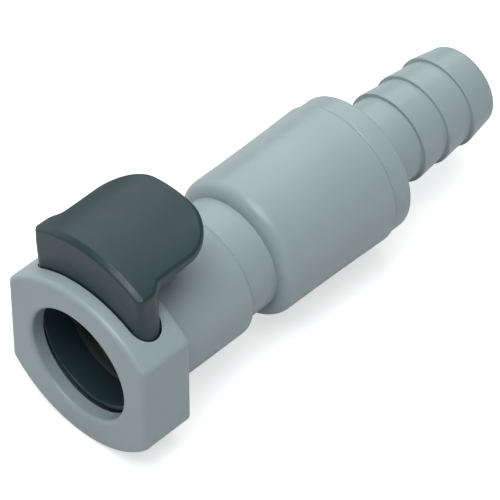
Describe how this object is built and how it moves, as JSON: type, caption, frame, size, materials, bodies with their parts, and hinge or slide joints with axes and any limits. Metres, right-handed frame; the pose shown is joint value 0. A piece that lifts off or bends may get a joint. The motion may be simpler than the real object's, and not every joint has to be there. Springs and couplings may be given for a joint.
{
  "type": "plastic quick disconnect coupling",
  "caption": "Thumb-latch quick disconnect coupling body for flexible tubing, with a spring-loaded shut-off valve and a half inch hose barb.",
  "frame": {"origin": "centre of the socket mouth, on the flange's front face", "axes": "+Y along the flow axis from the socket mouth to the hose barb, +Z to the thumb pad, +X to the right seen from the mouth's side"},
  "size_m": [0.0254, 0.0765, 0.0334],
  "materials": {
    "housing_plastic": "satin grey-blue moulding",
    "latch_plastic": "satin dark slate moulding",
    "valve_plastic": "satin grey moulding",
    "spring_steel": "drawn stainless wire",
    "seal_rubber": "smooth black elastomer"
  },
  "bodies": {
    "housing": {"housing": "housing_plastic", "hose_barb": "housing_plastic", "valve_guide": "valve_plastic", "terminal_seal": "seal_rubber", "latch_spring": "spring_steel", "valve_spring": "spring_steel"},
    "latch": {"thumb_latch": "latch_plastic"},
    "poppet": {"poppet": "valve_plastic", "poppet_seal": "seal_rubber"}
  },
  "joints": [
    {"name": "latch_press", "type": "slide", "parent": "housing", "child": "latch", "axis": [0, 0, -1], "range_m": [0, 0.0014], "stiffness_N_per_m": 2500, "springref_m": -0.0008, "deforming": ["latch_spring"]},
    {"name": "poppet_slide", "type": "slide", "parent": "housing", "child": "poppet", "axis": [0, 1, 0], "range_m": [0, 0.004], "stiffness_N_per_m": 1200, "springref_m": -0.002, "deforming": ["valve_spring"]}
  ]
}
